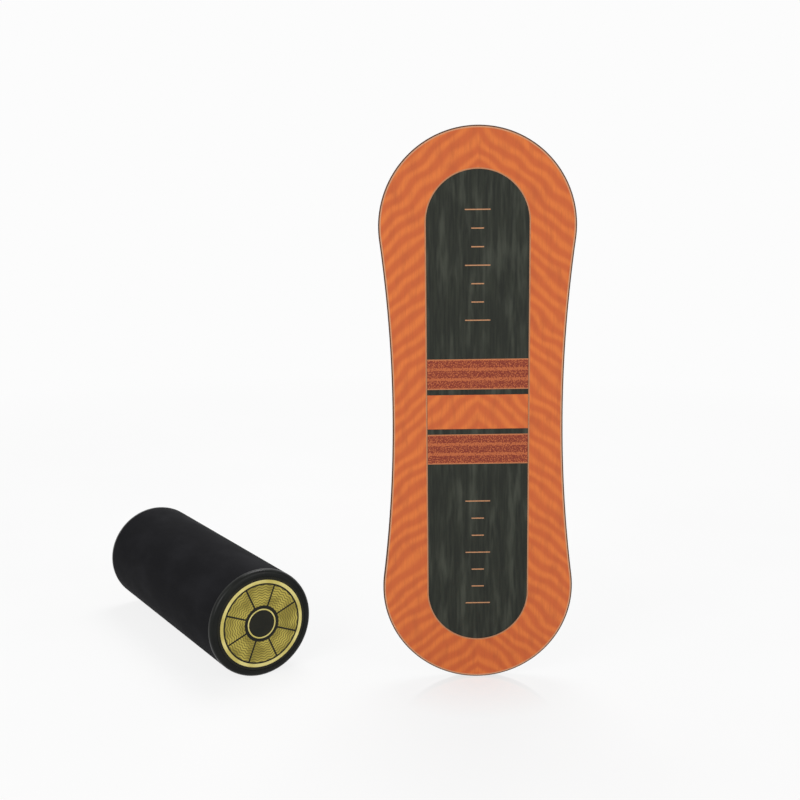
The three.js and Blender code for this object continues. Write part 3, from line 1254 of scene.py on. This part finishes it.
@dataclass
class Drum:
    """The roller: a pipe in a grip sleeve, with a cap, a seal and a printed badge at each end."""

    cap_plastic: Finish = MouldedPlastic(name="black ABS, moulded cap")
    disc_plastic: Finish = MouldedPlastic(
        name="black polystyrene, printed disc", tone="14150e", pale="201f16", rough=(0.35, 0.48),
        grain=Cloud(0.5, 0.5, 0.5, 2),
    )
    pipe_plastic: Finish = MouldedPlastic(
        name="grey polypropylene, extruded pipe", tone="66696b", pale="777a7c", rough=(0.35, 0.48),
        grain=Cloud(1.2, 1.2, 1.2, 2),
    )
    seal_rubber: Finish = BlackRubber(
        name="nitrile rubber, moulded seal", rough=(0.54, 0.45), grain=Cloud(0.5, 0.5, 0.5, 2)
    )
    body: str = "roller"
    sides: int = 144
    sleeve: float = 2.7 * MM
    sleeve_edge: float = 0.54 * MM
    bond: float = 0.3 * MM
    pipe_wall: float = 5 * MM
    cap_edge: float = 6 * MM
    cap_edge_steps: int = 4
    flange: float = 9 * MM
    rim_width: float = 4.1 * MM
    web: float = 3.5 * MM
    seat_gap: float = 0.3 * MM
    spigot_length: float = 24 * MM
    spigot_wall: float = 4.5 * MM
    spigot_gap: float = 0.4 * MM
    spigot_edge: float = 1.2 * MM
    groove_share: float = 0.5
    groove_place_share: float = 0.35
    groove_width: float = 2.95 * MM
    rib_count: int = 6
    rib_thickness: float = 3 * MM
    rib_share: float = 0.45
    hub: float = 12 * MM
    hub_rise: float = 1 * MM
    hub_sides: int = 48
    badge_thickness: float = 0.7 * MM
    badge_glue: float = 0.3 * MM
    badge_gap: float = 0.4 * MM
    badge_edge: float = 0.3 * MM
    ink: float = 0.08 * MM
    ring: Pair = (62.5 * MM, 67.6 * MM)
    field_rings: Pair = (28 * MM, 60 * MM)
    centre_ring: Pair = (21 * MM, 23 * MM)
    ring_pitch: float = 4 * MM
    spoke_width: float = 2.6 * MM
    spoke_count: int = 8
    centre: Vector = field(init=False)
    axis: Vector = field(init=False)
    radius: float = field(init=False)
    length: float = field(init=False)

    def __post_init__(self) -> None:
        """Takes the drum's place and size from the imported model."""
        joint = next(j for j in frame["joints"] if j["child"] == self.body)
        self.centre = Vector(joint["pos_m"])
        self.axis = Vector(joint["axis"]).normalized()
        low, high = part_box("roller_grip_sleeve")
        self.radius = (high.z - low.z) / 2
        ends = {mount["name"]: Vector(mount["pos_m"]) for mount in frame["record"]["mounts"]}
        self.length = (ends["roller_end_far"] - ends["roller_end_near"]).length

    @property
    def turn(self) -> float:
        """Gives the angle of the drum's axis from +Y, about the vertical."""
        return math.atan2(-self.axis.x, self.axis.y)

    @property
    def spigot(self) -> float:
        """Gives the radius of the caps' spigots, which plug the pipe."""
        return self.radius - self.sleeve - self.bond - self.pipe_wall - self.spigot_gap

    def placed(self, bm: Mesh, end: End | None = None) -> Mesh:
        """Puts a mesh in the drum's place.

        Args:
            bm: The mesh. It is turned round Y, and an end's mesh has its outer face at Y 0.
            end: The end that it is for, or None for the drum's middle.

        Returns:
            The same mesh.
        """
        flip = Matrix.Rotation(math.pi, 4, "Z") if end is End.FAR else Matrix.Identity(4)
        along = Matrix.Translation((0.0, end.value * self.length / 2 if end else 0.0, 0.0))
        place = Matrix.Translation(self.centre) @ Matrix.Rotation(self.turn, 4, "Z") @ along @ flip
        bmesh.ops.transform(bm, matrix=place, verts=bm.verts)
        return bm

    def build_sleeve(self) -> None:
        """Makes the grip sleeve."""
        half = self.length / 2 - self.flange - self.seat_gap
        bore = self.radius - self.sleeve
        edge = self.radius - self.sleeve_edge
        bm = turned([
            (bore, -half), (edge, -half), (self.radius, -half + self.sleeve_edge),
            (self.radius, half - self.sleeve_edge), (edge, half), (bore, half),
        ], self.sides)
        skin = BlackRubber(name="nitrile rubber, drawn grip skin", centre=tuple(self.centre), turn=self.turn)
        made = piece("roller_grip_skin", self.placed(bm), skin)
        adopt(made, self.body, "roller_grip_sleeve")

    def cap_profile(self) -> list[Pair]:
        """Draws the cap's section, from the middle of its face to the middle of its back.

        Returns:
            The radius and the place along Y of each point.
        """
        recess = self.badge_thickness + self.badge_glue
        mouth = self.radius - self.cap_edge - self.rim_width
        angles = [i * QUARTER / self.cap_edge_steps for i in range(self.cap_edge_steps + 1)]
        inset = self.radius - self.cap_edge
        edge = [(inset + self.cap_edge * math.sin(a), self.cap_edge * (1 - math.cos(a))) for a in angles]
        spigot = self.spigot
        groove = spigot - self.groove_share * self.spigot_wall
        groove_start = self.flange + self.groove_place_share * self.spigot_length
        groove_end = groove_start + self.groove_width
        back = self.flange + self.spigot_length
        inside = spigot - self.spigot_wall
        return [
            (0.0, recess), (mouth, recess), (mouth, 0.0), *edge, (self.radius, self.flange),
            (spigot, self.flange), (spigot, groove_start), (groove, groove_start), (groove, groove_end),
            (spigot, groove_end), (spigot, back - self.spigot_edge), (spigot - self.spigot_edge, back),
            (inside, back), (inside, recess + self.web), (0.0, recess + self.web),
        ]

    def disc(self, rings: Pair, front: float, depth: float, sides: int) -> Mesh:
        """Turns a flat ring between two radii, from its front to a depth behind it."""
        inner, outer = rings
        return turned([(inner, front), (outer, front), (outer, front + depth), (inner, front + depth)], sides)

    def ribs(self) -> list[Mesh]:
        """Makes the ribs and the hub behind the cap's face.

        The hub stands a little higher than the ribs and is turned by half a step, so that no face or edge of
        it lies in one of theirs or the cap's, which would leave torn faces where they join.

        Returns:
            Their meshes, which run into the cap's.
        """
        start = self.badge_thickness + self.badge_glue + self.web - CUT_OVERRUN
        height = self.rib_share * self.spigot_length + CUT_OVERRUN
        length = self.spigot - self.spigot_wall + CUT_OVERRUN
        hub = self.disc((0.0, self.hub), start, height + self.hub_rise, self.hub_sides)
        joined = [spun(hub, FULL_TURN / self.sides / 2)]
        for i in range(self.rib_count):
            rib = shift(block((length, height, self.rib_thickness)), (length / 2, start + height / 2, 0.0))
            joined.append(spun(rib, i * FULL_TURN / self.rib_count))
        return joined

    def build_end(self, end: End) -> None:
        """Makes one end: the cap, the badge's disc and the badge's print.

        Args:
            end: The end.
        """
        label = end.name.lower()
        bm = self.placed(turned(self.cap_profile(), self.sides), end)
        cap = piece(f"end_cap_{label}_moulding", bm, self.cap_plastic)
        carved(cap, [self.placed(rib, end) for rib in self.ribs()], Carve.ADD)
        adopt(cap, self.body, f"end_cap_{label}")
        rim = self.radius - self.cap_edge - self.rim_width - self.badge_gap
        bm = turned([
            (0.0, self.ink), (rim - self.badge_edge, self.ink), (rim, self.ink + self.badge_edge),
            (rim, self.badge_thickness), (0.0, self.badge_thickness),
        ], self.sides)
        badge = piece(f"cap_badge_{label}_disc", self.placed(bm, end), self.disc_plastic)
        adopt(badge, self.body, f"cap_badge_{label}")
        self.build_ink(end)

    def build_ink(self, end: End) -> None:
        """Prints a badge: a gold ring, a thin ring in the middle, and a split field of fine waved rings.

        Args:
            end: The end.
        """
        middle = tuple(self.centre + self.axis * (end.value * self.length / 2))
        solid = GoldInk(name="gold ink, solid", centre=middle, turn=self.turn)
        # The waved rings have their own tone and shade: the two ends of their painted glints.
        waved = replace(
            solid, name="gold ink, waved rings", tone="b8a847", shade="8d7f28", ring_pitch=self.ring_pitch
        )
        for name, rings, ink in (
            ("ring", self.ring, solid),
            ("centre", self.centre_ring, solid),
            ("field", self.field_rings, waved),
        ):
            bm = self.placed(self.disc(rings, 0.0, self.ink, self.sides), end)
            made = piece(f"badge_{name}_{end.name.lower()}", bm, ink)
            if ink is waved:
                carved(made, self.gaps(end), Carve.REMOVE)
            adopt(made, self.body)

    def gaps(self, end: End) -> list[Mesh]:
        """Makes the cutters that split a badge's field.

        Args:
            end: The end.

        Returns:
            Their meshes, in place.
        """
        inner, outer = self.field_rings
        size = (outer, self.ink + 2 * CUT_OVERRUN, self.spoke_width)
        cutters = []
        for i in range(self.spoke_count):
            gap = shift(block(size), ((inner + outer) / 2, 0.0, 0.0))
            cutters.append(self.placed(spun(gap, (i + 1 / 2) * FULL_TURN / self.spoke_count), end))
        return cutters

    def build(self) -> None:
        """Makes the whole drum."""
        self.build_sleeve()
        redress("roller_pipe", self.pipe_plastic)
        for end in End:
            self.build_end(end)
            redress(f"cap_seal_{end.name.lower()}", self.seal_rubber)


@dataclass(frozen=True)
class Lamp:
    """A square soft lamp: its name, where it stands, its side in metres and its power in watts."""

    name: str
    place: Point
    size: float
    power: float

    def build(self, target: Vector) -> None:
        """Sets the lamp up.

        Args:
            target: The point that it faces.
        """
        data = bpy.data.lights.new(self.name, "AREA")
        data.size = self.size
        data.energy = self.power
        lamp = linked(self.name, data)
        lamp.location = self.place
        lamp.rotation_euler = (target - Vector(self.place)).to_track_quat("-Z", "Y").to_euler()


@dataclass
class Studio:
    """The floor, the light and the camera, which stands before the deck and looks down a little."""

    foot: Point
    floor_size: float = 40.0
    camera_offset: Point = (-128.3 * MM, -1725.6 * MM, 743.7 * MM)
    pitch: float = math.radians(10.504)
    yaw: float = math.radians(-0.5415)
    roll: float = math.radians(-0.6854)
    focal_px: float = 1219.1
    image_px: float = 800.0
    sensor: float = 36.0
    sky: float = 0.4
    target: Point = (0.0, 0.0, 0.3)
    lamps: tuple[Lamp, ...] = (
        Lamp("key", (-1.7, -2.7, 1.9), 2.0, 52.0),
        Lamp("fill", (2.4, -2.2, 1.1), 2.0, 21.0),
        Lamp("top", (0.3, 1.2, 2.8), 1.6, 52.0),
    )

    def build_camera(self) -> None:
        """Sets the camera up."""
        data = bpy.data.cameras.new("camera")
        data.sensor_width = self.sensor
        data.lens = self.focal_px / self.image_px * self.sensor
        camera = linked("camera", data)
        camera.location = Vector(self.foot) + Vector(self.camera_offset)
        level = Euler((QUARTER - self.pitch, 0.0, self.yaw)).to_matrix()
        camera.rotation_euler = (level @ Matrix.Rotation(self.roll, 3, "Z")).to_euler()
        bpy.context.scene.camera = camera

    def build_floor(self) -> None:
        """Lays the floor."""
        bm = bmesh.new()
        bmesh.ops.create_grid(bm, x_segments=1, y_segments=1, size=self.floor_size / 2)
        piece("studio_floor", bm, WhiteAcrylic(foot=self.foot))

    def build_sky(self) -> None:
        """Makes a sky that lights softly and that the camera and the gloss see as the backdrop's white."""
        world = bpy.data.worlds.new("studio_white")
        bpy.context.scene.world = world
        world.use_nodes = True
        nodes = Nodes(world.node_tree)
        sky = world.node_tree.nodes["Background"]
        nodes.feed(sky, {"Color": WHITE, "Strength": self.sky})
        backdrop = nodes.add("Background", WhiteAcrylic.white)
        mixed = nodes.add("MixShader", nodes.glimpsed(), sky.outputs[0], backdrop)
        nodes.feed(world.node_tree.nodes["World Output"], {"Surface": mixed})

    def build(self) -> None:
        """Sets the whole studio up."""
        bpy.context.scene.view_settings.view_transform = "Standard"
        self.build_camera()
        self.build_floor()
        self.build_sky()
        for lamp in self.lamps:
            lamp.build(Vector(self.target))


def main() -> None:
    """Builds the set and its studio."""
    logging.basicConfig(level=logging.INFO, format="%(message)s")
    deck = Deck()
    Studio(deck.foot).build()
    wood = StainedPly(
        name="beech cleat, planed and stained", centre=deck.centre, tone="4a3a2d", pale="5d4a3a"
    )
    stops = [Stop(side, wood) for side in Side]
    deck.build([screw for stop in stops for screw in stop.screws()])
    for stop in stops:
        stop.build()
    Drum().build()


if __name__ == "__main__":
    main()
